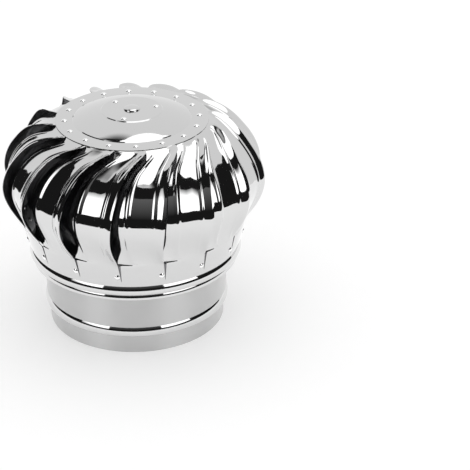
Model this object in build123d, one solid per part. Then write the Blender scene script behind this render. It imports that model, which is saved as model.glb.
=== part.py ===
from build123d import *
import os
from math import atan2, cos, degrees, pi, radians, sin

os.makedirs("parts", exist_ok=True)

# Turbine roof vent for a round flue, in millimetres.
# Origin: centre of the flue socket's lower edge.  +Z points up along the spindle.
# Angles are in degrees, counter-clockwise seen from above, measured from the front (-Y).

# Sheet metal
sheet = 0.6
cap_sheet = 0.8
sheet_gap = 0.15

# Base collar: a plain socket, a rolled bead and a wider throat
socket_r = 100.0
socket_h = 21.0
collar_bead_z = 29.0
collar_bead_top_z = 33.5
collar_bead_out = 1.4
throat_r = 104.0
throat_top_z = 98.0

# Lower ring of the turbine: a rolled hem, a rolled bead and a flared wall
ring_throat_gap = 9.5
ring_hem_t = 3.0
ring_bottom_z = 77.0
ring_bottom_out = 0.7
ring_hem_z = 78.4
ring_hem_out = 1.3
ring_waist_z = 82.6
ring_bead_z = 90.5
ring_bead_out = 4.4
ring_bend_z = 95.0
ring_bend_out = 3.5
ring_top_z = 124.0
ring_flare = 6.6

# Top cap and its centre plug
cap_r = 85.4
cap_rim_z = 242.6
cap_bead_r = 65.0
cap_bead_h = 1.1
cap_bead_slant = 0.6
cap_disc_r = 34.5
cap_disc_z = 253.4
cap_disc_step = 0.9
cap_dome_share = 0.6
cap_hole_r = 7.6
plug_play = 0.1
plug_over = 1.6
plug_crown_r = 5.0
plug_crown_h = 3.0

# Vanes
vane_count = 16
vane_edge_gap = 0.2
vane_tab_r = 66.5
vane_tab_z = 101.5
crease_rise = 1.0
top_angle = 13.0
foot_angle = -4.2
vane_bulge = 22.3
equator_z = 175.0
shoulder_share = 1.78
vane_lift = 14.5
rib_height = 1.6

# Rivets; a few flat sides stand for their round shanks and holes
rivet_side_count = 8
rivet_r = 1.6
rivet_head_r = 3.2
rivet_head_h = 1.3
rivet_head_angle = 42.0
rivet_tail_r = 2.4
rivet_tail_h = 1.6
rivet_play = 0.1
rivet_seat_gap = 0.05
cap_rivet_circle_r = 75.0
cap_rivet_angle = 5.9
ring_rivet_z = 108.5
ring_rivet_angle = -6.2

# Bearing hub under the cap
hub_flange_r = 33.0
hub_flange_t = 2.0
hub_wall = 2.5
hub_lip = 1.0
hub_length = 58.0
hub_rivet_circle_r = 27.5
hub_rivet_angle = 104.6
hub_rivet_count = 3

# Ball bearings, 8 x 22 x 7
bearing_bore_r = 4.0
bearing_outer_r = 11.0
bearing_width = 7.0
inner_race_r = 6.15
race_play = 0.05
fit_play = 0.02

# Spindle and its spider
spindle_r = 6.0
spindle_foot_r = 5.0
spindle_foot_over = 6.0
spindle_top_over = 0.5
spider_t = 2.5
spider_z = 80.0
spider_tab_drop = 1.2
spider_arm_w = 18.0
spider_hub_r = 20.0
spider_arm_count = 3
spider_rivet_spacing = 10.0
spider_angle = 30.0
foot_nut_flats = 16.0
foot_nut_h = 8.0
lock_nut_flats = 13.0
lock_nut_h = 7.5
washer_t = 1.5
washer_over = 5.0

# Radii of the ring and the vanes, from the throat outwards
ring_waist_r = throat_r + ring_throat_gap + ring_hem_t
ring_bend_r = ring_waist_r + ring_bend_out
ring_top_r = ring_bend_r + ring_flare
equator_r = ring_top_r + vane_bulge

# Levels of the hub and the spindle, from the cap downwards
pitch = 360.0 / vane_count
hub_top_z = cap_disc_z - cap_sheet
hub_bottom_z = hub_top_z - hub_length
lower_bearing_z = hub_bottom_z
upper_bearing_z = hub_top_z - hub_flange_t - lock_nut_h - washer_t - bearing_width
spacer_z = lower_bearing_z + bearing_width
lock_washer_z = upper_bearing_z + bearing_width
lock_nut_z = lock_washer_z + washer_t
spider_top_z = spider_z + spider_t
foot_washer_z = spider_z - washer_t
foot_nut_z = foot_washer_z - foot_nut_h
race_r = bearing_bore_r + fit_play
foot_hole_r = spindle_foot_r + fit_play


def at(angle, r, z):
    """A point at an angle from the front, a radius and a height."""
    a = radians(angle - 90.0)
    return Vector(r * cos(a), r * sin(a), z)


def frame_at(angle, r, z, slope=0.0):
    """A plane whose normal points outwards and leans up by slope degrees."""
    out = at(angle, cos(radians(slope)), sin(radians(slope)))
    return Plane(origin=at(angle, r, z), x_dir=at(angle + 90.0, 1.0, 0.0), z_dir=out)


def turned(outline):
    """A solid of revolution about the spindle axis from a closed line in the XZ plane."""
    return revolve(Plane.XZ * make_face(outline), Axis.Z)


def plain_ring(outer_r, bore_r, height):
    """A plain ring standing on z = 0."""
    return Pos(0, 0, height / 2) * (Cylinder(outer_r, height) - Cylinder(bore_r, 2 * height))


def drilled(solid, planes, depth):
    """The solid with a clear hole for one rivet shank at each plane."""
    hole = extrude(RegularPolygon(rivet_r + rivet_play, rivet_side_count), depth, both=True)
    for plane in planes:
        solid = solid - plane * hole
    return solid


def save(name, solids):
    """Writes one named piece, or a group of like pieces."""
    if not isinstance(solids, list):
        solids = [solids]
    solids = [one for entry in solids for one in entry.solids()]
    shape = solids[0] if len(solids) == 1 else Compound(children=solids)
    shape.label = name
    export_step(shape, f"parts/{name}.step")


# Fasteners
def rivet(grip):
    """A blind rivet along +Z: its head stands on z = 0, its tail hangs below the grip."""
    length = grip + rivet_seat_gap
    head = extrude(RegularPolygon(rivet_head_r, rivet_side_count), rivet_head_h, taper=rivet_head_angle)
    shank = Pos(0, 0, -length) * extrude(RegularPolygon(rivet_r, rivet_side_count), length)
    tail = Pos(0, 0, -length - rivet_tail_h) * extrude(
        RegularPolygon(rivet_tail_r, rivet_side_count), rivet_tail_h
    )
    return head + shank + tail


def hex_nut(flats, height, bore_r):
    """A plain hexagon nut standing on z = 0."""
    blank = extrude(RegularPolygon(flats / 2, 6, major_radius=False), height)
    return blank - Cylinder(bore_r, 3 * height)


# Base collar
def base_collar():
    """One spun sheet: the socket that slips over the flue, a rolled bead and the throat."""
    outside = [
        (socket_r + sheet, 0),
        (socket_r + sheet, socket_h),
        (throat_r + collar_bead_out, collar_bead_z),
        (throat_r, collar_bead_top_z),
        (throat_r, throat_top_z),
    ]
    inside = [(r - sheet, z) for r, z in reversed(outside)]
    collar = turned(Polyline(*outside, *inside, close=True))
    return drilled(collar, spider_rivet_planes(), 4 * sheet)


def spider_rivet_planes():
    """Two rivets side by side at the end of each spider arm, on the outside of the throat."""
    half_turn = degrees(spider_rivet_spacing / 2 / throat_r)
    z = (spider_top_z + throat_top_z) / 2
    planes = []
    for arm in range(spider_arm_count):
        arm_angle = spider_angle + arm * 360.0 / spider_arm_count
        for side in (-half_turn, half_turn):
            planes.append(frame_at(arm_angle + side, throat_r, z))
    return planes


def base_spider():
    """A pressed bracket: flat arms from a round hub, their ends bent up along the throat wall."""
    wall_r = throat_r - sheet - sheet_gap
    tab_h = throat_top_z - spider_tab_drop - spider_z
    rim = plain_ring(wall_r, wall_r - spider_t, tab_h)
    disc = Pos(0, 0, spider_t / 2) * Cylinder(wall_r, spider_t)
    spider = Pos(0, 0, spider_t / 2) * Cylinder(spider_hub_r, spider_t)
    for arm in range(spider_arm_count):
        turn = Rot(0, 0, spider_angle - 90.0 + arm * 360.0 / spider_arm_count)
        reach = turn * Pos(wall_r, 0, 0) * Box(2 * wall_r, spider_arm_w, 3 * tab_h)
        spider = spider + (disc & reach) + (rim & reach)
    spider = Pos(0, 0, spider_z) * (spider - Cylinder(foot_hole_r, 3 * spider_t))
    return drilled(spider, spider_rivet_planes(), 4 * spider_t)


def spindle():
    """A turned steel spindle: threaded foot, plain shank, shoulder and a seat for the bearings."""
    foot_z = foot_nut_z - spindle_foot_over
    top_z = lock_nut_z + lock_nut_h + spindle_top_over
    return turned(
        Polyline(
            (0, foot_z),
            (spindle_foot_r, foot_z),
            (spindle_foot_r, spider_top_z),
            (spindle_r, spider_top_z),
            (spindle_r, lower_bearing_z),
            (bearing_bore_r, lower_bearing_z),
            (bearing_bore_r, top_z),
            (0, top_z),
            close=True,
        )
    )


# Bearing hub
def bearing_hub():
    """A turned hub that hangs under the cap: flange, tube and a seat for a bearing at each end."""
    bore_r = bearing_outer_r + fit_play
    tube_r = bearing_outer_r + hub_wall
    lip_r = bearing_outer_r - hub_lip
    flange_z = hub_top_z - hub_flange_t
    hub = turned(
        Polyline(
            (bore_r, hub_bottom_z),
            (bore_r, spacer_z),
            (lip_r, spacer_z),
            (lip_r, upper_bearing_z),
            (bore_r, upper_bearing_z),
            (bore_r, hub_top_z),
            (hub_flange_r, hub_top_z),
            (hub_flange_r, flange_z),
            (tube_r, flange_z),
            (tube_r, hub_bottom_z),
            close=True,
        )
    )
    return drilled(hub, hub_rivet_planes(), 3 * hub_flange_t)


def rivet_circle(count, first_angle, radius, z):
    """Planes for rivets that stand upright on a circle."""
    planes = []
    for step in range(count):
        angle = first_angle + step * 360.0 / count
        planes.append(Plane(origin=at(angle, radius, z), x_dir=at(angle, 1.0, 0.0), z_dir=(0, 0, 1)))
    return planes


def hub_rivet_planes():
    """The rivets that hold the hub flange, on top of the cap's middle disc."""
    return rivet_circle(hub_rivet_count, hub_rivet_angle, hub_rivet_circle_r, cap_disc_z)


# Top cap
def cap_rivet_planes():
    """One rivet for each vane on the flat rim of the cap."""
    return rivet_circle(vane_count, cap_rivet_angle, cap_rivet_circle_r, cap_rim_z)


def top_cap():
    """A pressed cap: flat riveted rim, a small bead, a low dome and a raised middle disc."""
    disc_foot_z = cap_disc_z - cap_disc_step
    bead_z = cap_rim_z + cap_bead_h
    dome_mid_r = (cap_bead_r + cap_disc_r) / 2
    dome_mid_z = bead_z + cap_dome_share * (disc_foot_z - bead_z)
    top = [
        (cap_hole_r, cap_disc_z),
        (cap_disc_r - cap_bead_slant, cap_disc_z),
        (cap_disc_r, disc_foot_z),
        (dome_mid_r, dome_mid_z),
        (cap_bead_r, bead_z),
        (cap_bead_r + cap_bead_slant, cap_rim_z),
        (cap_r, cap_rim_z),
    ]
    under = [(r, z - cap_sheet) for r, z in reversed(top)]
    cap = turned(Polyline(*top, *under, close=True))
    return drilled(cap, cap_rivet_planes() + hub_rivet_planes(), 3 * cap_sheet)


def centre_plug():
    """A snap-in plug with a blunt crown that closes the hole above the lock nut."""
    flange_r = cap_hole_r + plug_over
    skirt_r = cap_hole_r - plug_play
    skirt_z = cap_disc_z - 2 * cap_sheet
    return turned(
        Polyline(
            (0, cap_disc_z + plug_crown_h),
            (plug_crown_r, cap_disc_z + plug_crown_h),
            (flange_r, cap_disc_z),
            (skirt_r, cap_disc_z),
            (skirt_r, skirt_z),
            (skirt_r - sheet, skirt_z),
            (skirt_r - sheet, cap_disc_z),
            (0, cap_disc_z),
            close=True,
        )
    )


# Lower ring
ring_slope = degrees(atan2(ring_top_r - ring_bend_r, ring_top_z - ring_bend_z))
ring_skin = sheet / cos(radians(ring_slope))


def ring_outside_r(z):
    """Radius of the ring's flared wall, outside, at a height."""
    share = (z - ring_bend_z) / (ring_top_z - ring_bend_z)
    return ring_bend_r + share * (ring_top_r - ring_bend_r)


def ring_rivet_planes(lift):
    """One rivet for each vane, square to the flared wall, lift above its outside."""
    r = ring_outside_r(ring_rivet_z) + lift * cos(radians(ring_slope))
    z = ring_rivet_z - lift * sin(radians(ring_slope))
    return [frame_at(ring_rivet_angle + step * pitch, r, z, -ring_slope) for step in range(vane_count)]


def lower_ring():
    """A spun ring: a rolled hem at the bottom, a bead and a flared wall that carries the vanes."""
    outside = [
        (ring_waist_r, ring_waist_z),
        (ring_waist_r + ring_bead_out, ring_bead_z),
        (ring_bend_r, ring_bend_z),
        (ring_top_r, ring_top_z),
    ]
    inside = [(r - ring_skin, z) for r, z in reversed(outside)]
    hem = [
        (ring_waist_r - ring_hem_t, ring_waist_z),
        (ring_waist_r - ring_hem_t, ring_bottom_z),
        (ring_waist_r + ring_bottom_out, ring_bottom_z),
        (ring_waist_r + ring_hem_out, ring_hem_z),
    ]
    ring = turned(Polyline(*outside, *inside, *hem, close=True))
    return drilled(ring, ring_rivet_planes(0.0), 4 * sheet)


# Vanes
tab_top_z = cap_rim_z - cap_sheet - sheet_gap
crease_z = ring_top_z + crease_rise

# Stations down a vane's body: place on its curve (1 at the cap, 0 at the equator, -1 at the
# crease above the ring), angle of the proud edge, share of the lift, tuck under the
# neighbour in degrees, and share of the rib height.
vane_stations = [
    (0.985, 12.98, 0.05, 0.0, 0.0),
    (0.96, 12.8, 0.13, 4.0, 0.0),
    (0.90, 11.9, 0.34, 5.0, 0.3),
    (0.80, 7.2, 0.62, 5.6, 0.8),
    (0.65, 0.8, 0.85, 6.4, 1.0),
    (0.46, -3.2, 0.97, 6.6, 1.0),
    (0.22, -5.6, 1.0, 6.6, 1.0),
    (0.0, -6.8, 1.0, 6.4, 1.0),
    (-0.38, -7.2, 1.0, 6.2, 1.0),
    (-0.68, -6.4, 0.82, 6.2, 1.0),
    (-0.85, -5.3, 0.5, 6.6, 0.6),
    (-0.95, -4.5, 0.2, 6.0, 0.2),
    (-0.985, -4.25, 0.07, 0.0, 0.1),
]
# Across a vane, from the tucked edge to the proud edge: a hidden tongue, a flank, a narrow rib,
# a flat panel and a flared lip.  Share of the width, share of the lift that the skin drops, and
# share of the rib height that it rises.
vane_across = [
    (0.0, 1.2, 0.0),
    (0.22, 0.93, 0.0),
    (0.36, 0.63, 0.0),
    (0.42, 0.605, 1.0),
    (0.48, 0.58, 0.0),
    (0.64, 0.51, 0.0),
    (0.8, 0.44, 0.0),
    (0.87, 0.34, 0.0),
    (1.0, 0.0, 0.0),
]


def vane_foot_r(z):
    """Outside radius of a vane's foot, which lies on the ring's flared wall."""
    return ring_outside_r(z) + sheet_gap + ring_skin


def vane_curve(place):
    """Radius, height and lean of the skin's normal at a place on a vane's curve."""
    if place >= 0.0:
        reach = equator_r - cap_r
        rise = tab_top_z - equator_z
        across = cos(place * pi / 2) ** (2.0 / shoulder_share)
        up = sin(place * pi / 2) ** (2.0 / shoulder_share)
        lean = atan2(up ** (shoulder_share - 1.0) * reach, across ** (shoulder_share - 1.0) * rise)
        return cap_r + reach * across, equator_z + rise * up, degrees(lean)
    crease_r = vane_foot_r(crease_z)
    reach = equator_r - crease_r
    drop = equator_z - crease_z
    lean = -atan2(reach * pi / 2 * sin(-place * pi / 2), drop)
    return crease_r + reach * cos(place * pi / 2), equator_z + drop * place, degrees(lean)


def vane_section(curve, proud, lift, tuck, rib, below):
    """One line across a vane's skin, below the outside by the given depth."""
    r, z, lean = curve
    edge_gap = degrees(vane_edge_gap / r)
    width = pitch - 2 * edge_gap + tuck
    points = []
    for share, drop, rise in vane_across:
        depth = drop * lift * vane_lift - rise * rib * rib_height + below
        angle = proud - edge_gap - (1.0 - share) * width
        points.append(at(angle, r - depth * cos(radians(lean)), z - depth * sin(radians(lean))))
    return points


def straight_cut(points, middle_angle, distance):
    """Moves points along their radii onto one straight line square to the middle angle."""
    out = at(middle_angle, 1.0, 0.0)
    cut = []
    for point in points:
        flat = Vector(point.X, point.Y, 0)
        cut.append(flat * (distance / flat.dot(out)) + Vector(0, 0, point.Z))
    return cut


def vane_lines(skin, foot_skin):
    """Lines across a vane, from its tab under the cap to its foot, below the outside by a skin."""
    end = vane_section((vane_tab_r, tab_top_z, 90.0), top_angle, 0, 0, 0, skin)
    lines = [straight_cut(end, top_angle - pitch / 2, vane_tab_r)]
    lines.append(vane_section((cap_r, tab_top_z, 90.0), top_angle, 0, 0, 0, skin))
    for place, proud, lift, tuck, rib in vane_stations:
        lines.append(vane_section(vane_curve(place), proud, lift, tuck, rib, skin))
    for z in (crease_z, vane_tab_z):
        lines.append(vane_section((vane_foot_r(z), z, 0.0), foot_angle, 0, 0, 0, foot_skin))
    return lines


def facets(lines):
    """Flat three-cornered faces between neighbouring lines of points."""
    faces = []
    for upper, lower in zip(lines, lines[1:]):
        for a, b, c, d in zip(upper, upper[1:], lower[1:], lower):
            faces.append(Face(Wire.make_polygon([a, b, c])))
            faces.append(Face(Wire.make_polygon([a, c, d])))
    return faces


def border(lines):
    """The closed line round the edge of a sheet."""
    left = [line[0] for line in lines]
    right = [line[-1] for line in lines]
    return lines[0][:-1] + right[:-1] + lines[-1][:0:-1] + left[::-1]


def vane():
    """One twisted, folded blade: a flat tab under the cap, a ribbed body and a foot down the ring."""
    outside = vane_lines(0.0, 0.0)
    inside = vane_lines(sheet, ring_skin)
    skin = facets(outside) + facets(inside) + facets([border(outside), border(inside)])
    blade = Solid(Shell(skin))
    return drilled(blade, cap_rivet_planes()[:1] + ring_rivet_planes(0.0)[:1], 4 * sheet)


def vane_rivets():
    """The rivets at the vanes' top tabs and at their feet on the ring."""
    top_grip = cap_sheet + sheet_gap + sheet
    foot_lift = sheet_gap + sheet + rivet_seat_gap
    top = [plane * rivet(top_grip) for plane in cap_rivet_planes()]
    foot = [plane * rivet(foot_lift + sheet) for plane in ring_rivet_planes(foot_lift)]
    return top, foot


# Write the pieces
spider_grip = sheet + sheet_gap + spider_t
hub_grip = cap_sheet + hub_flange_t
spacer_h = upper_bearing_z - spacer_z
inner_race = plain_ring(inner_race_r, race_r, bearing_width)
outer_race = plain_ring(bearing_outer_r, inner_race_r + race_play, bearing_width)
foot_washer = plain_ring(foot_hole_r + washer_over, foot_hole_r, washer_t)
foot_nut = hex_nut(foot_nut_flats, foot_nut_h, foot_hole_r)
lock_nut = hex_nut(lock_nut_flats, lock_nut_h, race_r)
top_rivets, foot_rivets = vane_rivets()
blade = vane()

save("base_collar", base_collar())
save("base_spider", base_spider())
save("base_spider_rivets", [plane * rivet(spider_grip) for plane in spider_rivet_planes()])
save("spindle", spindle())
save("spindle_foot_washer", Pos(0, 0, foot_washer_z) * foot_washer)
save("spindle_foot_nut", Pos(0, 0, foot_nut_z) * foot_nut)
save("lower_bearing_inner_race", Pos(0, 0, lower_bearing_z) * inner_race)
save("lower_bearing_outer_race", Pos(0, 0, lower_bearing_z) * outer_race)
save("bearing_spacer", Pos(0, 0, spacer_z) * plain_ring(inner_race_r, race_r, spacer_h))
save("upper_bearing_inner_race", Pos(0, 0, upper_bearing_z) * inner_race)
save("upper_bearing_outer_race", Pos(0, 0, upper_bearing_z) * outer_race)
save("lock_washer", Pos(0, 0, lock_washer_z) * plain_ring(inner_race_r, race_r, washer_t))
save("spindle_lock_nut", Pos(0, 0, lock_nut_z) * lock_nut)
save("bearing_hub", bearing_hub())
save("bearing_hub_rivets", [plane * rivet(hub_grip) for plane in hub_rivet_planes()])
save("top_cap", top_cap())
save("centre_plug", centre_plug())
save("lower_ring", lower_ring())
for step in range(vane_count):
    save(f"vane_{step + 1:02d}", Rot(0, 0, step * pitch) * blade)
save("vane_top_rivets", top_rivets)
save("vane_foot_rivets", foot_rivets)
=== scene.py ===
# %% [markdown]
# # A turbine roof vent in mirror-polished stainless steel
# The imported solids give every size and joint of the cowl. This lesson dresses them: it
# spins smooth sheet-metal shells, bends one ribbed blade by a rule, repeats it round the
# spindle, sets the rivets, and lights the steel in a white studio with black flags.
# We load the solids first and keep them, so that their boxes give the dressed cowl its sizes.

import math

import bmesh
import bpy
import numpy as np
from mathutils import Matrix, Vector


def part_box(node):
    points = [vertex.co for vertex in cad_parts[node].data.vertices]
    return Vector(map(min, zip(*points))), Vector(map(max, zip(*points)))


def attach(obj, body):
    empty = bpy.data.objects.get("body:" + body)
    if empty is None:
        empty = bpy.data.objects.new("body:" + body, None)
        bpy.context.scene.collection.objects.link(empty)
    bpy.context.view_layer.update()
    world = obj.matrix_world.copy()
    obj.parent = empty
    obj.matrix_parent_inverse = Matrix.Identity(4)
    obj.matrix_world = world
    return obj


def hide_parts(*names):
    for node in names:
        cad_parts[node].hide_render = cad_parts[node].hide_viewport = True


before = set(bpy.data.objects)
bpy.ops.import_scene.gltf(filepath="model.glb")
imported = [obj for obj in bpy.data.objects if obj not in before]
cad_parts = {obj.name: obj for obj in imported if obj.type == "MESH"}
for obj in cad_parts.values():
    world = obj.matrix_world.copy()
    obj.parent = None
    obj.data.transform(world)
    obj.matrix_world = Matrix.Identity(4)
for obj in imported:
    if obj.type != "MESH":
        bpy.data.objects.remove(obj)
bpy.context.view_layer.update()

# %% [markdown]
# The cowl is drawn in millimetres, as its maker would, and Blender counts in metres. Angles
# run counter-clockwise seen from above and start at the front, which faces -Y. One small
# function adds a node to any tree with its settings and links, so that shader trees and
# geometry trees read alike. Another turns a hex colour into the linear light of a shader.

# %% Units and small helpers
MM = 0.001
front = -90.0


def at(angle, r, z):
    """Points in metres, from angles in degrees from the front and radii and heights in mm."""
    a = np.radians(np.asarray(angle, float) + front)
    return np.stack(np.broadcast_arrays(r * np.cos(a), r * np.sin(a), z), axis=-1) * MM


def node(tree, kind, inputs=None, **settings):
    """Adds a node; inputs maps a socket's name or number to a value or to another node's output."""
    made = tree.nodes.new(kind)
    for key, value in settings.items():
        setattr(made, key, value)
    for key, value in (inputs or {}).items():
        if isinstance(value, bpy.types.NodeSocket):
            tree.links.new(value, made.inputs[key])
        else:
            made.inputs[key].default_value = value
    return made


def linear(hex_colour):
    """An sRGB hex colour as the linear RGBA that shaders take."""
    parts = [int(hex_colour[i:i + 2], 16) / 255 for i in (1, 3, 5)]
    return tuple(p / 12.92 if p <= 0.04045 else ((p + 0.055) / 1.055) ** 2.4 for p in parts) + (1.0,)


print("one metre to the front:", at(0.0, 1 / MM, 0.0))

# %% [markdown]
# The shells are austenitic stainless sheet, rolled bright and buffed to a mirror. A mirror
# shows its surroundings, so its colour is only a light grey. A perfectly smooth mirror would
# look like glass. Two things make it sheet: it is never quite flat, which bends the
# reflections a little, and buffing leaves a faint haze that differs from place to place. Both
# are noise, sized in millimetres. Where a wheel has run round the spindle its fine marks smear
# the reflections up and down, so a brushed metal also gets a tangent that goes round.

# %% One recipe for bare metal
quarter_turn = 0.25


def metal(name, colour, roughness, haze, haze_mm, wave_mm, wave_depth_mm, brushed=0.0):
    """A bare metal with a patchy haze and slow waves, brushed round the spindle or not."""
    made = bpy.data.materials.new(name)
    made.use_nodes = True
    tree = made.node_tree
    shader = tree.nodes["Principled BSDF"]
    shader.inputs["Base Color"].default_value = linear(colour)
    shader.inputs["Metallic"].default_value = 1.0
    if brushed:
        shader.inputs["Anisotropic"].default_value = brushed
        shader.inputs["Anisotropic Rotation"].default_value = quarter_turn
        around = node(tree, "ShaderNodeTangent", direction_type="RADIAL", axis="Z")
        tree.links.new(around.outputs["Tangent"], shader.inputs["Tangent"])
    place = node(tree, "ShaderNodeTexCoord").outputs["Object"]
    cloud = node(tree, "ShaderNodeTexNoise", {"Vector": place, "Scale": 1 / (haze_mm * MM), "Detail": 3.0})
    rough = node(
        tree, "ShaderNodeMapRange",
        {"Value": cloud.outputs["Fac"], "To Min": roughness - haze, "To Max": roughness + haze},
    )
    wave = node(tree, "ShaderNodeTexNoise", {"Vector": place, "Scale": 1 / (wave_mm * MM), "Detail": 1.0})
    bump = node(tree, "ShaderNodeBump", {"Height": wave.outputs["Fac"], "Distance": wave_depth_mm * MM})
    tree.links.new(rough.outputs["Result"], shader.inputs["Roughness"])
    tree.links.new(bump.outputs["Normal"], shader.inputs["Normal"])
    print("finish:", name)
    return made


# %% [markdown]
# Six finishes are enough. The outside of the rotor is buffed, the collar is only brushed over,
# and the side that nobody sees keeps the dull skin of the rolling mill, given a colour darker
# than the steel's own as painted shade, which darkens the inside and the slots between the
# blades. Rivets, plated steel and bearing steel follow the same recipe, so that they differ by
# their numbers alone.

# %% Finishes of the cowl
# Buffed stainless sheet: a bright grey mirror with a little haze and slow waves.
mirror_sheet = metal(
    "buffed_stainless_sheet", "#CBCBCB", roughness=0.05, haze=0.02, haze_mm=14.0,
    wave_mm=34.0, wave_depth_mm=0.06,
)
# The collar's sheet is only brushed over with a polishing wheel: greyer, its reflections run soft.
collar_sheet = metal(
    "wheel_polished_stainless", "#C6C6C6", roughness=0.36, haze=0.03, haze_mm=14.0,
    wave_mm=40.0, wave_depth_mm=0.06, brushed=0.85,
)
# The same sheet's other side, as it leaves the mill: dull, and darker than the steel's own colour as
# painted shade for the inside.
mill_sheet_with_painted_shade = metal(
    "mill_finish_painted_shade", "#7C7C7E", roughness=0.42, haze=0.08, haze_mm=6.0,
    wave_mm=20.0, wave_depth_mm=0.05,
)
# Stainless blind rivets: pressed heads, bright but not buffed.
rivet_steel = metal(
    "pressed_stainless_rivet", "#EEEEEE", roughness=0.1, haze=0.04, haze_mm=1.5,
    wave_mm=2.0, wave_depth_mm=0.01,
)
# Zinc-plated mild steel: bluish grey with a soft sheen; its mottle is coarser than real, to show.
zinc_steel = metal(
    "bright_zinc_plate", "#B4B8BC", roughness=0.34, haze=0.10, haze_mm=2.5,
    wave_mm=1.2, wave_depth_mm=0.01,
)
# Ground bearing steel: darker and smoother than the plate, with fine grinding haze.
bearing_steel = metal(
    "ground_bearing_steel", "#A4A4A6", roughness=0.2, haze=0.06, haze_mm=0.8,
    wave_mm=0.8, wave_depth_mm=0.004,
)

# %% [markdown]
# Collar, ring, cap and plug are spun on a lathe: a flat blank is pressed against a turning
# form, so every section is the same. Such a piece could be a curve with a Screw modifier. Here
# its outline is a list of corners, each with the radius that the roller leaves there, because
# a sharp corner never catches the light as rolled sheet does.

# %% Outlines with rolled bends
bend_steps = 7
nearly_straight = math.radians(89.5)


def rounded(corners):
    """A closed outline through corners of (radius, height, bend), with an arc at each bend."""
    outline = []
    for i, (r, z, bend) in enumerate(corners):
        corner = np.array((r, z))
        back = np.array(corners[i - 1][:2]) - corner
        ahead = np.array(corners[(i + 1) % len(corners)][:2]) - corner
        back_unit = back / np.linalg.norm(back)
        ahead_unit = ahead / np.linalg.norm(ahead)
        half = math.acos(np.clip(back_unit @ ahead_unit, -1, 1)) / 2
        if bend == 0.0 or half > nearly_straight:
            outline.append(corner)
            continue
        reach = bend / math.tan(half)
        middle = (back_unit + ahead_unit) / np.linalg.norm(back_unit + ahead_unit)
        centre = corner + middle * bend / math.sin(half)
        start = corner + back_unit * reach - centre
        end = corner + ahead_unit * reach - centre
        turn = math.atan2(start[0] * end[1] - start[1] * end[0], start @ end)
        for a in np.linspace(0.0, turn, bend_steps):
            spin = np.array(((math.cos(a), -math.sin(a)), (math.sin(a), math.cos(a))))
            outline.append(centre + spin @ start)
    return np.array(outline)


print("points on a bend:", bend_steps)

# %% [markdown]
# The outline goes once round the spindle, as the blank does on the lathe. Points that fall
# together on the axis are merged, the faces are turned outwards, and the shading stays smooth
# up to the real edges of the sheet, so that a mirror shows no facets.

# %% Spun sheet
sheet_sides = 240
sheet_edge = 24.0
merge_mm = 0.001


def tidy_mesh(mesh):
    """Merges doubles, turns the faces outwards and shades smooth up to the sharp edges."""
    work = bmesh.new()
    work.from_mesh(mesh)
    bmesh.ops.remove_doubles(work, verts=work.verts, dist=merge_mm * MM)
    bmesh.ops.recalc_face_normals(work, faces=work.faces)
    work.to_mesh(mesh)
    work.free()
    mesh.shade_smooth()
    mesh.set_sharp_from_angle(angle=math.radians(sheet_edge))
    return mesh


def spun(name, outline, sides=sheet_sides):
    """A mesh from a closed outline in mm turned once round the spindle axis."""
    angles = np.arange(sides) * 360.0 / sides
    rings = [at(angle, outline[:, 0], outline[:, 1]) for angle in angles]
    count = len(outline)
    faces = []
    for i in range(sides):
        here = i * count
        there = (i + 1) % sides * count
        for j in range(count):
            k = (j + 1) % count
            faces.append((here + j, there + j, there + k, here + k))
    mesh = bpy.data.meshes.new(name)
    mesh.from_pydata(np.concatenate(rings).tolist(), [], faces)
    return tidy_mesh(mesh)


print("sides of a spun sheet:", sheet_sides)

# %% [markdown]
# Every finished mesh rides on the base or on the turbine, and takes the place of the plain
# solids that it stands for. Buffed sheet is bright on one side only. Painting both sides by
# hand would be slow, so each face is asked whether it looks towards the middle of the rotor,
# and those that do get the mill finish with its painted shade.

# %% Dressing a body
rotor_middle_z = 175.0
outer_side = 0
mill_shade_side = 1


def faces_inside(mesh):
    """The inner side's number for faces that look at the rotor's middle, the outer side's for others."""
    count = len(mesh.polygons)
    centres = np.empty(3 * count)
    normals = np.empty(3 * count)
    mesh.polygons.foreach_get("center", centres)
    mesh.polygons.foreach_get("normal", normals)
    outwards = centres.reshape(-1, 3) - np.array((0.0, 0.0, rotor_middle_z * MM))
    looks_in = (outwards * normals.reshape(-1, 3)).sum(axis=1) < 0
    return np.where(looks_in, mill_shade_side, outer_side).astype(np.int32)


def piece(mesh, finish, body, slot, *stands_for):
    """Puts a finished mesh on its body in place of the plain solids that it stands for."""
    obj = bpy.data.objects.new(mesh.name, mesh)
    bpy.context.scene.collection.objects.link(obj)
    mesh.materials.clear()
    mesh.materials.append(finish)
    if finish in (mirror_sheet, collar_sheet):
        mesh.materials.append(mill_sheet_with_painted_shade)
        mesh.polygons.foreach_set("material_index", faces_inside(mesh))
    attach(obj, body)
    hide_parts(*stands_for)
    print("piece:", obj.name, "faces:", len(mesh.polygons))
    return obj


print("middle of the rotor, mm:", rotor_middle_z)

# %% [markdown]
# A bead is rolled into the sheet to stiffen it. The neck of this cowl has three, all of one
# kind: the upper side swells out broadly, and the lower side turns in tightly. The upper side
# faces the sky, so it draws the bright and dark lines that go round the neck. A half-round
# bead would be simpler, but it squeezes those lines. A broad arc that runs smoothly into a
# tight one spreads them as on the real neck.

# %% Rolled beads
bead_lean = 30.0
bead_under = -50.0
bead_steps = 12
broad_round = 16.0
tight_round = 4.0


def bulge(r, z, upper_round, under, inset=0.0):
    """A bead from (r, z) down: an arc from its lean to level, then a tight arc to the angle under."""
    lean = math.radians(bead_lean)
    middle_r = r - upper_round * math.cos(lean)
    middle_z = z - upper_round * math.sin(lean)
    under_r = middle_r + upper_round - tight_round
    points = []
    for a in np.linspace(lean, 0.0, bead_steps):
        size = upper_round - inset
        points.append((middle_r + size * math.cos(a), middle_z + size * math.sin(a), 0.0))
    for a in np.linspace(0.0, math.radians(under), bead_steps)[1:]:
        size = tight_round - inset
        points.append((under_r + size * math.cos(a), middle_z + size * math.sin(a), 0.0))
    return points


print("bead rounds, mm:", broad_round, tight_round)

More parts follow.
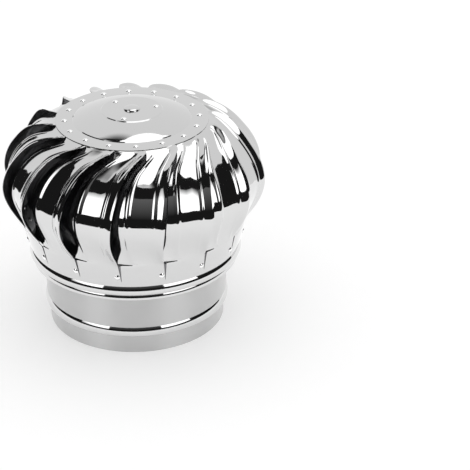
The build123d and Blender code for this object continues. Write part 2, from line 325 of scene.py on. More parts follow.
# %% [markdown]
# The collar is the fixed part. Its plain skirt slips over the flue, and a rolled bead marks
# the step to the wider throat. The sheet is brushed, but the roller burnishes the bead as it
# presses it, so the outer faces of the bead get the mirror finish. That could be a mask in the
# shader; a third material on those faces says it more simply.

# %% Base collar
sheet = 0.6
socket_r = 100.0
socket_h = 21.0
socket_bend = 1.0
socket_bend_rise = 0.2
throat_r = 104.0
throat_top_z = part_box("base_collar")[1].z / MM
bead_top_z = 33.5
bead_land = 0.4
collar_bead = (throat_r, bead_top_z, broad_round, bead_under)
collar_outline = rounded([
    (socket_r + sheet, 0.0, 0.0),
    (socket_r + sheet, socket_h, socket_bend),
    *reversed(bulge(*collar_bead)),
    (throat_r, bead_top_z + bead_land, 0.0),
    (throat_r, throat_top_z, 0.0),
    (throat_r - sheet, throat_top_z, 0.0),
    (throat_r - sheet, bead_top_z, 0.0),
    *bulge(*collar_bead, inset=sheet),
    (socket_r, socket_h + socket_bend_rise, socket_bend),
    (socket_r, 0.0, 0.0),
])
collar_mesh = spun("collar_sheet", collar_outline)
collar = piece(collar_mesh, collar_sheet, "base", "polished_stainless", "base_collar")
burnished = len(collar_mesh.materials)
collar_mesh.materials.append(mirror_sheet)
for face in collar_mesh.polygons:
    on_bead = socket_h * MM < face.center.z < bead_top_z * MM
    if on_bead and face.material_index == outer_side:
        face.material_index = burnished

# %% [markdown]
# The lower ring carries the feet of the blades and turns with them. Its flared wall ends in
# two rolled beads, the lower one closed over the folded hem. The wall behind the feet gets the
# dark mill finish as painted shade, so that this strip shows dark in the gaps between them.

# %% Lower ring
ring_bottom_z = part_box("lower_ring")[0].z / MM
ring_top_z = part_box("lower_ring")[1].z / MM
ring_top_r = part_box("lower_ring")[1].x / MM
foot_bottom_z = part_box("vane_01")[0].z / MM
ring_bend_r = 120.0
ring_bend_z = 95.0
ring_bend_step = 0.2
ring_waist_r = 116.5
ring_waist_z = 82.5
ring_round = 15.0
hem = 3.0
hem_bulge = 0.7
hem_edge = 0.4
hem_round = 10.6
hem_under = -4.0
shade_strip_lift = 1.0
painted_shade_z = foot_bottom_z + shade_strip_lift
ring_slope = math.degrees(math.atan2(ring_top_r - ring_bend_r, ring_top_z - ring_bend_z))
ring_skin = sheet / math.cos(math.radians(ring_slope))


def ring_outside_r(z):
    """Radius of the ring's flared wall, outside, at a height."""
    return ring_bend_r + (z - ring_bend_z) * math.tan(math.radians(ring_slope))


upper_bead = (ring_bend_r - ring_bend_step, ring_bend_z - ring_bend_step, ring_round, bead_under)
lower_bead = (ring_waist_r, ring_waist_z, hem_round, hem_under)
ring_outline = rounded([
    (ring_top_r, ring_top_z, 0.0),
    (ring_outside_r(painted_shade_z), painted_shade_z, 0.0),
    (ring_bend_r, ring_bend_z, 0.0),
    *bulge(*upper_bead),
    *bulge(*lower_bead),
    (ring_waist_r + hem_bulge, ring_bottom_z, hem_edge),
    (ring_waist_r - hem, ring_bottom_z, hem_edge),
    (ring_waist_r - hem, ring_waist_z, 0.0),
    *reversed(bulge(*upper_bead, inset=sheet)),
    (ring_bend_r - ring_skin, ring_bend_z + ring_bend_step, 0.0),
    (ring_top_r - ring_skin, ring_top_z, 0.0),
])
ring_mesh = spun("ring_sheet", ring_outline)
piece(ring_mesh, mirror_sheet, "turbine", "polished_stainless", "lower_ring")
# The wall above the feet's lower edge gets the dark mill finish: painted shade in the gaps between the
# feet.
for face in ring_mesh.polygons:
    if face.center.z > painted_shade_z * MM:
        face.material_index = mill_shade_side

# %% [markdown]
# The cap is pressed from thicker sheet: a flat rim for the rivets, a fine bead, a low dome and
# a raised disc in the middle. A slice of a ball would do for the dome, but the real one is
# nearly a cone with a little fullness, so its height falls by a share of the way out and a
# share of that way squared.

# %% Top cap
cap_sheet = 0.8
cap_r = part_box("top_cap")[1].x / MM
cap_rim_z = 242.6
cap_edge = 0.15
cap_edge_bend = 0.1
cap_bead_r = 65.0
cap_bead_h = 1.1
cap_bead_nose = 0.2
cap_bead_nose_bend = 0.25
cap_bead_foot = 1.2
cap_bead_foot_bend = 0.3
cap_disc_r = 34.5
cap_disc_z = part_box("top_cap")[1].z / MM
cap_disc_step = 0.9
cap_disc_bend = 0.9
cap_disc_foot = 0.3
cap_disc_dip = 0.1
cap_disc_foot_bend = 0.8
cap_hole_r = 7.6
under_bend_share = 0.6
dome_margin = 1.5
dome_steps = 24
dome_straight = 0.6


def dome(r, low, high):
    """Height of a smooth dome between two (radius, height) rims, fuller than a straight cone."""
    out = (r - high[0]) / (low[0] - high[0])
    fall = dome_straight * out + (1 - dome_straight) * out ** 2
    return high[1] + (low[1] - high[1]) * fall


dome_low = (cap_bead_r, cap_rim_z + cap_bead_h)
dome_high = (cap_disc_r, cap_disc_z - cap_disc_step)
dome_radii = np.linspace(cap_disc_r + dome_margin, cap_bead_r - dome_margin, dome_steps)
cap_top = [
    (cap_hole_r, cap_disc_z, 0.0),
    (cap_disc_r - cap_disc_bend, cap_disc_z, cap_disc_bend),
    (cap_disc_r + cap_disc_foot, cap_disc_z - cap_disc_step - cap_disc_dip, cap_disc_foot_bend),
    *[(r, dome(r, dome_low, dome_high), 0.0) for r in dome_radii],
    (cap_bead_r + cap_bead_nose, cap_rim_z + cap_bead_h - cap_bead_nose, cap_bead_nose_bend),
    (cap_bead_r + cap_bead_foot, cap_rim_z, cap_bead_foot_bend),
    (cap_r - cap_edge, cap_rim_z, cap_edge_bend),
]
cap_under = [(r, z - cap_sheet, under_bend_share * bend) for r, z, bend in reversed(cap_top)]
cap_under[0] = (cap_r, cap_rim_z - cap_sheet, 0.0)
cap_mesh = spun("cap_sheet", rounded(cap_top + cap_under))
piece(cap_mesh, mirror_sheet, "turbine", "polished_stainless", "top_cap")

# %% [markdown]
# A small domed plug closes the hole over the nut on the spindle. A half ball would stand too
# tall and a disc would look turned. A rounded oval with a power above two gives the flat crown
# and full shoulder of a pressed plug.

# %% Centre plug
plug_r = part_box("centre_plug")[1].x / MM
plug_top_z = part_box("centre_plug")[1].z / MM
plug_gap = 0.1
plug_power = 2.6
plug_steps = 20
plug_sides = 64
skirt_r = cap_hole_r - plug_gap
skirt_z = cap_disc_z - 2 * cap_sheet
plug_h = plug_top_z - cap_disc_z
plug_dome = [
    (plug_r * x, cap_disc_z + plug_h * (1 - x ** plug_power) ** (1 / plug_power), 0.0)
    for x in np.sin(np.linspace(0.0, math.pi / 2, plug_steps))
]
plug_outline = rounded([
    *plug_dome,
    (skirt_r, cap_disc_z, 0.0),
    (skirt_r, skirt_z, 0.0),
    (skirt_r - sheet, skirt_z, 0.0),
    (skirt_r - sheet, cap_disc_z, 0.0),
    (0.0, cap_disc_z, 0.0),
])
plug_mesh = spun("plug_dome", plug_outline, plug_sides)
piece(plug_mesh, mirror_sheet, "turbine", "polished_stainless", "centre_plug")

# %% [markdown]
# A blade is the skilled piece of this cowl: a strip of sheet that is flat under the cap,
# twists and swells to the widest girth, and folds flat onto the ring. Across its width it has
# a tongue hidden under its neighbour, a flank, a rib, a level panel, a fine second rib and a
# flared lip, which rises a little more below the cap. Sculpting it by hand would never make
# sixteen blades that nest, so a rule gives each point: a curve down the body, a few stations
# that say how much lip, tuck and rib there is, and one section across.

# %% Blade sizes
blade_count = 16
pitch = 360.0 / blade_count
edge_gap = 0.2
seam_gap = 0.15
tab_r = 66.5
tab_top_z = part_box("vane_01")[1].z / MM
top_angle = 13.0
foot_angle = -4.2
foot_split = 1.2
equator_r = 148.9
blade_lift = 14.5

# Place on the body (1 at the cap, 0 at the widest girth, -1 at the crease), angle of the proud
# lip, share of the lift, tuck under the neighbour in degrees, share of the rib.
stations = np.array([
    (-1.0, foot_angle - foot_split, 0.0, -foot_split, 0.0),
    (-0.985, -5.45, 0.07, -foot_split, 0.1),
    (-0.95, -5.6, 0.2, 5.4, 0.2),
    (-0.85, -6.0, 0.5, 6.6, 0.6),
    (-0.68, -6.7, 0.82, 6.4, 1.0),
    (-0.38, -7.2, 1.0, 6.6, 1.0),
    (0.0, -6.8, 1.0, 7.6, 1.0),
    (0.22, -5.6, 1.0, 9.2, 1.0),
    (0.46, -3.2, 0.97, 10.8, 1.0),
    (0.65, 0.8, 0.85, 11.8, 1.0),
    (0.80, 7.2, 0.62, 11.8, 0.8),
    (0.90, 11.9, 0.34, 11.2, 0.3),
    (0.96, 12.8, 0.13, 8.6, 0.0),
    (0.985, 12.98, 0.05, 3.6, 0.0),
    (1.0, top_angle, 0.0, 0.0, 0.0),
])
# Share of the width from the tucked edge to the proud lip, and share of the lift that the
# sheet lies below the lip there: a hidden tongue, a flank, a panel and the flared lip.
section = np.array([
    (0.0, 1.2),
    (0.22, 0.95),
    (0.39, 0.65),
    (0.54, 0.57),
    (0.8, 0.44),
    (0.87, 0.34),
    (1.0, 0.0),
])
print("blades:", blade_count, "stations:", len(stations))

# %% [markdown]
# Both tables hold only the places that matter. Straight lines between them would show as kinks
# in a mirror, and a common spline swings past its points. The curve used here is smooth and
# stays between its rows. A second helper spaces the points, so that they can lie close where
# the sheet bends sharply and wide where it is plain.

# %% Smooth curves through a table
def eased(x, table, column):
    """One column of a table at x, on a smooth curve through its rows that never overshoots."""
    xs, ys = table[:, 0], table[:, column]
    slope = np.diff(ys) / np.diff(xs)
    bend = np.zeros(len(xs))
    for i in range(1, len(xs) - 1):
        if slope[i - 1] * slope[i] > 0:
            bend[i] = 2 * slope[i - 1] * slope[i] / (slope[i - 1] + slope[i])
    i = np.clip(np.searchsorted(xs, x) - 1, 0, len(xs) - 2)
    span = xs[i + 1] - xs[i]
    t = (x - xs[i]) / span
    return (
        ys[i] * (1 + 2 * t) * (1 - t) ** 2 + bend[i] * span * t * (1 - t) ** 2
        + ys[i + 1] * t * t * (3 - 2 * t) + bend[i + 1] * span * t * t * (t - 1)
    )


def stretches(start, *stops):
    """Values from start through stops of (value, steps), evenly spaced up to each stop."""
    values = []
    for stop, steps in stops:
        values.append(np.linspace(start, stop, steps, endpoint=False))
        start = stop
    return np.append(np.concatenate(values), start)


print("lip angle at the widest girth:", eased(0.0, stations, 1))

# %% [markdown]
# Seen from the side, the body of the rotor goes from the cap's rim over a round shoulder to
# the widest girth, and in a quarter wave down to the crease above the ring. An arc would do,
# but the real shoulder is flatter, so the upper part is a quarter of an oval with a power just
# below two. One function gives radius, height and the lean of the skin, because the section is
# laid off square to the skin.

# %% Curve down the body
quarter = math.pi / 2
shoulder_power = 1.78
crease_lift = 1.0
crease_z = ring_top_z + crease_lift


def foot_r(z):
    """Outside radius of a blade's foot on the ring's flared wall."""
    return ring_outside_r(z) + seam_gap + ring_skin


def body_curve(place):
    """Radius, height and lean of the skin's normal at a place on the body."""
    if place >= 0.0:
        reach = equator_r - cap_r
        rise = tab_top_z - rotor_middle_z
        out = max(math.cos(place * quarter), 0.0) ** (2 / shoulder_power)
        up = math.sin(place * quarter) ** (2 / shoulder_power)
        lean = math.atan2(up ** (shoulder_power - 1) * reach, out ** (shoulder_power - 1) * rise)
        return cap_r + reach * out, rotor_middle_z + rise * up, lean
    reach = equator_r - foot_r(crease_z)
    drop = rotor_middle_z - crease_z
    lean = -math.atan2(reach * quarter * math.sin(-place * quarter), drop)
    return foot_r(crease_z) + reach * math.cos(place * quarter), rotor_middle_z + drop * place, lean


print("crease, mm:", crease_z, "radius there:", foot_r(crease_z))

# %% [markdown]
# One line across the blade follows the section. The rib is pressed up by a smooth swelling,
# and a finer one lies beside the panel. The lip turns up along a curve that starts flat, so
# that the panel's reflection runs into it without a break.

# %% Lines across a blade
tongue_end = 0.18
rib_height = 1.6
rib_middle = 0.475
rib_half = 0.065
fine_rib_middle = 0.845
fine_rib_half = 0.035
fine_rib_share = 0.45
lip_start = 0.76
lip_curve = 1.3
share = stretches(
    0.0,
    (tongue_end, 3),
    (rib_middle - rib_half, 6),
    (rib_middle + rib_half, 10),
    (fine_rib_middle - fine_rib_half, 3),
    (fine_rib_middle + fine_rib_half, 8),
    (1.0, 8),
)


def swelling(middle, half):
    """A smooth swelling across the blade: 1 in its middle and 0 from its edges on."""
    return np.where(abs(share - middle) < half, np.cos((share - middle) / half * quarter) ** 2, 0)


drop_across = eased(share, section, 1)
rib_across = swelling(rib_middle, rib_half) + fine_rib_share * swelling(fine_rib_middle, fine_rib_half)
lip_across = np.clip((share - lip_start) / (1 - lip_start), 0.0, 1.0) ** lip_curve


def blade_line(r, z, lean, proud, lift, tuck, rib, rise=0.0):
    """The points of one line across a blade."""
    gap = math.degrees(edge_gap / r)
    angle = proud - gap - (1 - share) * (pitch - 2 * gap + tuck)
    depth = drop_across * lift * blade_lift - rib_across * rib * rib_height - lip_across * rise
    return at(angle, r - depth * math.cos(lean), z - depth * math.sin(lean))


print("points across a blade:", len(share))

# %% [markdown]
# The lines are laid one below the other: two for the flat tab under the cap's rim, many down
# the body, and a few on the foot, where neighbours draw apart by a small split. Faces between
# them make the bare sheet, still without thickness.

# %% One blade
lip_rise = 2.8
lip_rise_middle = 0.76
lip_rise_half = 0.34
near_cap = 0.94
near_crease = -0.9
foot_lines = 6
spots = stretches(1.0, (near_cap, 9), (0.0, 28), (near_crease, 16), (-1.0, 14))
tab_radii = (tab_r, (tab_r + cap_r) / 2)
lines = [blade_line(r, tab_top_z, quarter, top_angle, 0, 0, 0) for r in tab_radii]
for spot in spots:
    proud, lift, tuck, rib = [eased(spot, stations, column) for column in range(1, 5)]
    rise = lip_rise * max(0.0, 1 - ((spot - lip_rise_middle) / lip_rise_half) ** 2) ** 2
    lines.append(blade_line(*body_curve(spot), proud, lift, tuck, rib, rise))
for z in np.linspace(crease_z, foot_bottom_z, foot_lines)[1:]:
    split = foot_split * (z - foot_bottom_z) / (crease_z - foot_bottom_z)
    lines.append(blade_line(foot_r(z), z, -math.radians(ring_slope), foot_angle - split, 0, -split, 0))
width = len(share)
blade_faces = [
    (i * width + j, (i + 1) * width + j, (i + 1) * width + j + 1, i * width + j + 1)
    for i in range(len(lines) - 1) for j in range(width - 1)
]
blade_mesh = bpy.data.meshes.new("blade_blank")
blade_mesh.from_pydata(np.concatenate(lines).tolist(), [], blade_faces)
blade_mesh.shade_smooth()
print("blade faces:", len(blade_faces))

# %% [markdown]
# Blades and rivets all stand on circles round the spindle. A loop could copy them, or an Array
# modifier with an empty that turns. A Geometry Nodes tree does it for both: it sets a point
# for each copy, turns the copy to its angle, tilts it to its sheet and makes the copies real,
# with the sizes as named inputs.

# %% A tree that sets copies on a circle
circle_tree = bpy.data.node_groups.new("copies_on_a_circle", "GeometryNodeTree")
circle_tree.interface.new_socket("Geometry", in_out="INPUT", socket_type="NodeSocketGeometry")
circle_tree.interface.new_socket("Geometry", in_out="OUTPUT", socket_type="NodeSocketGeometry")
circle_inputs = [
    ("Count", "NodeSocketInt"),
    ("Radius", "NodeSocketFloat"),
    ("Height", "NodeSocketFloat"),
    ("First angle", "NodeSocketFloat"),
    ("Tilt", "NodeSocketFloat"),
    ("Finish", "NodeSocketMaterial"),
]
circle_ids = {}
for name, kind in circle_inputs:
    socket = circle_tree.interface.new_socket(name, in_out="INPUT", socket_type=kind)
    circle_ids[name] = socket.identifier
given = node(circle_tree, "NodeGroupInput").outputs
index = node(circle_tree, "GeometryNodeInputIndex").outputs["Index"]
step = node(circle_tree, "ShaderNodeMath", {0: math.tau, 1: given["Count"]}, operation="DIVIDE").outputs[0]
turn = node(
    circle_tree, "ShaderNodeMath", {0: index, 1: step, 2: given["First angle"]}, operation="MULTIPLY_ADD"
).outputs[0]
start = node(circle_tree, "ShaderNodeCombineXYZ", {"X": given["Radius"], "Z": given["Height"]}).outputs[0]
placed = node(
    circle_tree, "ShaderNodeVectorRotate", {"Vector": start, "Angle": turn}, rotation_type="Z_AXIS"
)
points = node(circle_tree, "GeometryNodePoints", {"Count": given["Count"], "Position": placed.outputs[0]})
facing = node(circle_tree, "ShaderNodeCombineXYZ", {"Y": given["Tilt"], "Z": turn}).outputs[0]
copies = node(
    circle_tree, "GeometryNodeInstanceOnPoints",
    {"Points": points.outputs[0], "Instance": given["Geometry"], "Rotation": facing},
)
real = node(circle_tree, "GeometryNodeRealizeInstances", {"Geometry": copies.outputs[0]})
dressed = node(
    circle_tree, "GeometryNodeSetMaterial", {"Geometry": real.outputs[0], "Material": given["Finish"]}
)
node(circle_tree, "NodeGroupOutput", {"Geometry": dressed.outputs[0]})
print("tree inputs:", list(circle_ids))

# %% [markdown]
# Sixteen blades stand round the spindle. After the tree has set them, a Solidify modifier
# gives the sheet its thickness, inwards, so that the outside stays where the rule put it. The
# result is turned into a plain mesh, because only plain meshes travel with the part.

# %% Blades round the spindle
def on_circle(name, mesh, finish, sizes, thickness=0.0):
    """A plain mesh of copies of one mesh on a circle, thickened inwards where a size is given."""
    blank = bpy.data.objects.new(name, mesh)
    bpy.context.scene.collection.objects.link(blank)
    modifier = blank.modifiers.new("copies", "NODES")
    modifier.node_group = circle_tree
    modifier[circle_ids["Finish"]] = finish
    for key, value in sizes.items():
        modifier[circle_ids[key]] = value
    if thickness:
        wall = blank.modifiers.new("wall", "SOLIDIFY")
        wall.thickness = thickness
        wall.offset = -1.0
        wall.use_even_offset = True
    evaluated = blank.evaluated_get(bpy.context.evaluated_depsgraph_get())
    made = bpy.data.meshes.new_from_object(evaluated)
    made.name = name
    bpy.data.objects.remove(blank)
    made.set_sharp_from_angle(angle=math.radians(sheet_edge))
    return made


blades = on_circle("blade_sheets", blade_mesh, mirror_sheet, {"Count": blade_count}, sheet * MM)
vane_nodes = [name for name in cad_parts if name.startswith("vane_") and name[5:].isdigit()]
piece(blades, mirror_sheet, "turbine", "polished_stainless", *vane_nodes)

# %% [markdown]
# Blind rivets hold the blades to cap and ring, the hub to the cap and the spider to the
# collar. A flattened ball would do for the heads, but from inside the tails can be seen too.
# So one rivet is a small outline turned round its own axis: a low dome, a shank and the
# swollen blind end.

# %% One rivet
head_r = 3.2
head_brim = 0.25
head_steps = 8
dome_edge = math.radians(48.0)
shank_r = 1.6
tail_r = 2.4
tail_h = 1.6
tail_full_share = 0.6
rivet_sides = 28


def rivet_mesh(name, grip):
    """A domed blind rivet along +Z whose head stands on z = 0."""
    ball_r = head_r / math.sin(dome_edge)
    crown = [
        (ball_r * math.sin(a), head_brim + ball_r * (math.cos(a) - math.cos(dome_edge)))
        for a in np.linspace(0.0, dome_edge, head_steps)
    ]
    outline = crown + [
        (head_r, 0.0),
        (shank_r, 0.0),
        (shank_r, -grip),
        (tail_r, -grip),
        (tail_r, -grip - tail_full_share * tail_h),
        (shank_r, -grip - tail_h),
        (0.0, -grip - tail_h),
    ]
    return spun(name, np.array(outline), rivet_sides)


print("rivet head, mm:", 2 * head_r)

# %% [markdown]
# Each row of rivets goes on a circle of its own, by the same tree as the blades, tilted to
# stand square to its sheet: upright on the cap, level in the collar, and leaning with the
# flare on the ring. A rivet is as long as the sheets that it grips.

# %% Rows of rivets
upright = 0.0
level = math.pi / 2
on_flare = level + math.radians(ring_slope)
rivet_edge = 40.0
rim_rivet_r = 75.0
rim_rivet_angle = 5.9
rim_grip = cap_sheet + seam_gap + sheet
foot_rivet_z = 108.5
foot_rivet_angle = -6.2
foot_grip = seam_gap + 2 * sheet
foot_rivet_lift = seam_gap + sheet
foot_rivet_r = ring_outside_r(foot_rivet_z) + foot_rivet_lift / math.cos(math.radians(ring_slope))
hub_rivet_count = 3
hub_rivet_r = 27.5
hub_rivet_angle = 104.6
hub_flange = 2.0
hub_grip = cap_sheet + hub_flange
spider_arms = 3
spider_arm_angle = 30.0
spider_rivet_side = 2.754
spider_tab = 2.5
spider_grip = sheet + seam_gap + spider_tab
spider_rivet_low, spider_rivet_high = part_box("base_spider_rivets")
spider_rivet_z = (spider_rivet_low.z + spider_rivet_high.z) / 2 / MM


def rivet_circle(count, r, z, first_angle, tilt):
    """The tree's inputs for one circle of rivets, from mm and degrees from the front."""
    return {
        "Count": count,
        "Radius": r * MM,
        "Height": z * MM,
        "First angle": math.radians(first_angle + front),
        "Tilt": tilt,
    }


rivet_rows = [
    ("rim_rivets", rim_grip, "turbine", "vane_top_rivets",
     [rivet_circle(blade_count, rim_rivet_r, cap_rim_z, rim_rivet_angle, upright)]),
    ("foot_rivets", foot_grip, "turbine", "vane_foot_rivets",
     [rivet_circle(blade_count, foot_rivet_r, foot_rivet_z, foot_rivet_angle, on_flare)]),
    ("hub_rivets", hub_grip, "turbine", "bearing_hub_rivets",
     [rivet_circle(hub_rivet_count, hub_rivet_r, cap_disc_z, hub_rivet_angle, upright)]),
    ("spider_rivets", spider_grip, "base", "base_spider_rivets",
     [rivet_circle(spider_arms, throat_r, spider_rivet_z, spider_arm_angle + side, level)
      for side in (-spider_rivet_side, spider_rivet_side)]),
]
for name, grip, body, stands_for, circles in rivet_rows:
    joined = bmesh.new()
    for sizes in circles:
        joined.from_mesh(on_circle(name, rivet_mesh(name + "_one", grip), rivet_steel, sizes))
    mesh = bpy.data.meshes.new(name + "_heads")
    joined.to_mesh(mesh)
    joined.free()
    mesh.shade_smooth()
    mesh.set_sharp_from_angle(angle=math.radians(rivet_edge))
    piece(mesh, rivet_steel, body, "rivet_steel", stands_for)

# %% [markdown]
# The bracket, spindle, bearings and hub inside keep their solids, because turned and pressed
# steel has just those plain forms. They only need their finishes: zinc plate on the bracket,
# spindle, hub and nuts, ground steel on the bearing races.

# %% Inner pieces
shown = [name for name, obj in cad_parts.items() if not obj.hide_render]
for name in shown:
    finish = bearing_steel if "race" in name else zinc_steel
    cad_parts[name].data.materials.clear()
    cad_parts[name].data.materials.append(finish)
print("inner pieces:", len(shown))

# %% [markdown]
# Polished metal looks like what stands round it, so a photographer hangs cards about it. Lamps
# would only make small hot spots in a mirror. Our cards glow by themselves: black felt that
# gives off next to nothing, a grey card that brightens upwards, windows that dim towards their
# edges, and shades that fade out altogether. A card's own coordinates run from 0 to 1 across
# it, whatever its size, which suits a soft edge.

# %% Glowing cards
upright_card = (1.0, 0.0, 1.0)
level_card = (1.0, 1.0, 0.0)
window_heart = (0.6, 0.0, 0.36)
window_core = 0.34
window_reach = 0.8
shade_heart = (0.5, 0.5, 0.0)
shade_core = 0.15
shade_reach = 0.5


def fading(tree, place, across, heart, core, reach):
    """0 round the heart of a card and 1 beyond its soft edge, measured in shares of the card's size."""
    flat = node(tree, "ShaderNodeVectorMath", {0: place, 1: across}, operation="MULTIPLY").outputs[0]
    apart = node(tree, "ShaderNodeVectorMath", {0: flat, 1: heart}, operation="DISTANCE").outputs["Value"]
    return node(
        tree, "ShaderNodeMapRange", {"Value": apart, "From Min": core, "From Max": reach},
        interpolation_type="SMOOTHSTEP",
    ).outputs["Result"]


def glow(name, strength, top_strength=None, edge_strength=None, soft_edge=False):
    """A card that gives off light: even, graded upwards, dimmer towards its edge, or fading out there."""
    made = bpy.data.materials.new(name)
    made.use_nodes = True
    tree = made.node_tree
    tree.nodes.clear()
    place = node(tree, "ShaderNodeTexCoord").outputs["Generated"]
    if top_strength is not None:
        height = node(tree, "ShaderNodeSeparateXYZ", {"Vector": place}).outputs["Z"]
        strength = node(
            tree, "ShaderNodeMapRange", {"Value": height, "To Min": strength, "To Max": top_strength}
        ).outputs["Result"]
    if edge_strength is not None:
        fade = fading(tree, place, upright_card, window_heart, window_core, window_reach)
        strength = node(
            tree, "ShaderNodeMapRange", {"Value": fade, "To Min": strength, "To Max": edge_strength}
        ).outputs["Result"]
    light = node(tree, "ShaderNodeEmission", {"Color": linear("#FFFFFF"), "Strength": strength}).outputs[0]
    if soft_edge:
        fade = fading(tree, place, level_card, shade_heart, shade_core, shade_reach)
        clear = node(tree, "ShaderNodeBsdfTransparent").outputs[0]
        light = node(tree, "ShaderNodeMixShader", {0: fade, 1: light, 2: clear}).outputs[0]
    node(tree, "ShaderNodeOutputMaterial", {"Surface": light})
    print("card finish:", name)
    return made


black_felt = glow("black_felt", 0.014)
grey_card = glow("grey_card", 0.02, top_strength=0.16)
soft_box = glow("soft_box", 1.9)
soft_window = glow("soft_window", 2.2, edge_strength=0.05)
soft_shade = glow("soft_shade", 0.015, soft_edge=True)

# %% [markdown]
# The studio is white, with black flags: a low dark ring gives the steel its horizon, dark
# panels beside and above part the two bright windows from the white room, and a grey card
# stands behind the camera. Each is a patch of a big ball round the cowl, given by its compass
# angles and its heights above the horizon, because a far card keeps its place in every blade.
# The cards show in reflections and nowhere else, so they neither light the floor nor shade it.

# %% Flags and windows round the cowl
flag_ball_r = 5000.0
card_step = 3.0
horizon_top = 7.0
window_top = 43.0
flag_top = 58.0


def reflected_only(mesh, finish):
    """Hangs a card in the studio so that it shows in reflections and nowhere else."""
    mesh.materials.append(finish)
    obj = bpy.data.objects.new(mesh.name, mesh)
    bpy.context.scene.collection.objects.link(obj)
    obj.visible_camera = False
    obj.visible_diffuse = False
    obj.visible_shadow = False


def card(name, finish, compass, heights):
    """A patch of the ball, from its first and last compass angle and its lowest and highest height."""
    columns = np.linspace(*compass, 1 + math.ceil((compass[1] - compass[0]) / card_step))
    rows = np.radians(np.linspace(*heights, 1 + math.ceil((heights[1] - heights[0]) / card_step)))
    lines = [
        at(columns, flag_ball_r * math.cos(e), rotor_middle_z + flag_ball_r * math.sin(e))
        for e in rows
    ]
    wide = len(columns)
    faces = [
        (i * wide + j, i * wide + j + 1, (i + 1) * wide + j + 1, (i + 1) * wide + j)
        for i in range(len(rows) - 1) for j in range(wide - 1)
    ]
    mesh = bpy.data.meshes.new(name)
    mesh.from_pydata(np.concatenate(lines).tolist(), [], faces)
    reflected_only(mesh, finish)


cards = [
    ("horizon_flag", black_felt, (-132.0, 118.0), (-24.0, horizon_top)),
    ("left_flag", black_felt, (-118.0, -66.0), (horizon_top, flag_top)),
    ("left_window", soft_window, (-66.0, -31.0), (horizon_top, window_top)),
    ("front_card", grey_card, (-31.0, 31.0), (horizon_top, window_top)),
    ("right_window", soft_window, (31.0, 68.0), (horizon_top, window_top)),
    ("right_flag", black_felt, (68.0, 104.0), (horizon_top, flag_top)),
    ("upper_flag", black_felt, (-66.0, 68.0), (window_top, 60.0)),
]
for name, finish, compass, heights in cards:
    card(name, finish, compass, heights)
print("cards round the cowl:", len(cards))

# %% [markdown]
# The cap and the shoulders of the blades look up. There they see an oval soft box, which
# whitens them, and behind it two soft shades, which dim the white sky on the left and over the
# dome. An oval edge bends like the cap itself, where a square one would show corners in it.

# %% Soft box and shades overhead
ceiling_z = 1700.0
ceiling_step = 20.0


def oval(name, finish, middle, half, z, sides=72):
    """A flat oval card from its middle, its half widths and its height in mm."""
    turns = np.linspace(0.0, math.tau, sides, endpoint=False)
    x = middle[0] + half[0] * np.cos(turns)
    y = middle[1] + half[1] * np.sin(turns)
    rim = np.stack((x, y, np.full(sides, z)), axis=-1) * MM
    mesh = bpy.data.meshes.new(name)
    mesh.from_pydata(rim.tolist(), [], [tuple(range(sides))])
    reflected_only(mesh, finish)


oval("top_box", soft_box, (340.0, -20.0), (660.0, 880.0), ceiling_z)
oval("front_shade", soft_shade, (-420.0, -500.0), (620.0, 850.0), ceiling_z + ceiling_step)
oval("dome_shade", soft_shade, (-360.0, 420.0), (500.0, 500.0), ceiling_z + 2 * ceiling_step)

# %% [markdown]
# The floor is white paper. It takes the cowl's soft shadow, and a little light of its own
# lifts it to the white of the page. The steel would show that endless floor as white all the
# way to the horizon, so the reflections get a round, bright table instead. Its edge is where
# the white in the lower part of the blades ends and the dark ring begins.

# %% Floor and table
floor_half = 6000.0
floor_z = -0.2
table_r = 750.0
table_z = -0.1
table_sides = 96


def paper(name, colour, own_light):
    """Matt paper that gives off a little light of its own."""
    made = bpy.data.materials.new(name)
    made.use_nodes = True
    shader = made.node_tree.nodes["Principled BSDF"]
    shader.inputs["Base Color"].default_value = linear(colour)
    shader.inputs["Roughness"].default_value = 0.9
    shader.inputs["Specular IOR Level"].default_value = 0.0
    shader.inputs["Emission Color"].default_value = linear("#FFFFFF")
    shader.inputs["Emission Strength"].default_value = own_light
    return made


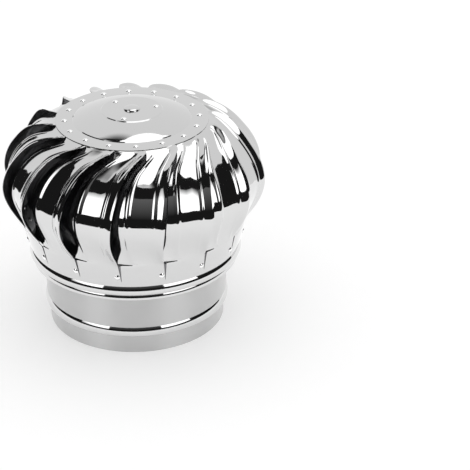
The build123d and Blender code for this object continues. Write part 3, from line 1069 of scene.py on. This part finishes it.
# Uncoated white paper: matt, without any gloss, pale enough for a soft shadow to show.
white_paper = paper("white_paper", "#E4E4E4", own_light=0.28)
# A whiter, brighter sheet of the same paper, for the reflections.
bright_paper = paper("bright_paper", "#F3F3F3", own_light=0.36)
corner_signs = ((-1, -1), (1, -1), (1, 1), (-1, 1))
floor_rim = [(x * floor_half * MM, y * floor_half * MM, floor_z * MM) for x, y in corner_signs]
floor_mesh = bpy.data.meshes.new("paper_floor")
floor_mesh.from_pydata(floor_rim, [], [(0, 1, 2, 3)])
floor_mesh.materials.append(white_paper)
floor = bpy.data.objects.new("paper_floor", floor_mesh)
bpy.context.scene.collection.objects.link(floor)
floor.visible_glossy = False
oval("paper_table", bright_paper, (0.0, 0.0), (table_r, table_r), table_z, table_sides)
print("floor, mm:", 2 * floor_half, "table:", 2 * table_r)

# %% [markdown]
# The world is a plain white sky of strength 1, so whatever the flags leave open shows white in
# the steel as well. The Standard view keeps a colour as it is written. A film-like view would
# grey the white page.

# %% Sky and view
world = bpy.data.worlds.new("white_studio")
world.use_nodes = True
sky = world.node_tree.nodes["Background"]
sky.inputs["Color"].default_value = linear("#FFFFFF")
sky.inputs["Strength"].default_value = 1.0
bpy.context.scene.world = world
bpy.context.scene.view_settings.view_transform = "Standard"
print("sky:", world.name, "view:", bpy.context.scene.view_settings.view_transform)

# %% [markdown]
# The camera looks down on the cowl at about 28 degrees from two metres away, with a long
# lens. It could be turned towards the cowl. Here it stands a little to the right of it and
# looks straight ahead, so that the cowl lies left of the middle, as in the photograph.

# %% Camera
camera_place = (0.11413, -1.8266, 1.0685)
camera_pitch = 0.48956
camera = bpy.data.cameras.new("camera")
camera.sensor_width = 36.0
camera.lens = 138.2
camera_obj = bpy.data.objects.new("camera", camera)
camera_obj.location = camera_place
camera_obj.rotation_euler = (math.pi / 2 - camera_pitch, 0.0, 0.0)
bpy.context.scene.collection.objects.link(camera_obj)
bpy.context.scene.camera = camera_obj
print("camera pitch, degrees:", math.degrees(camera_pitch))
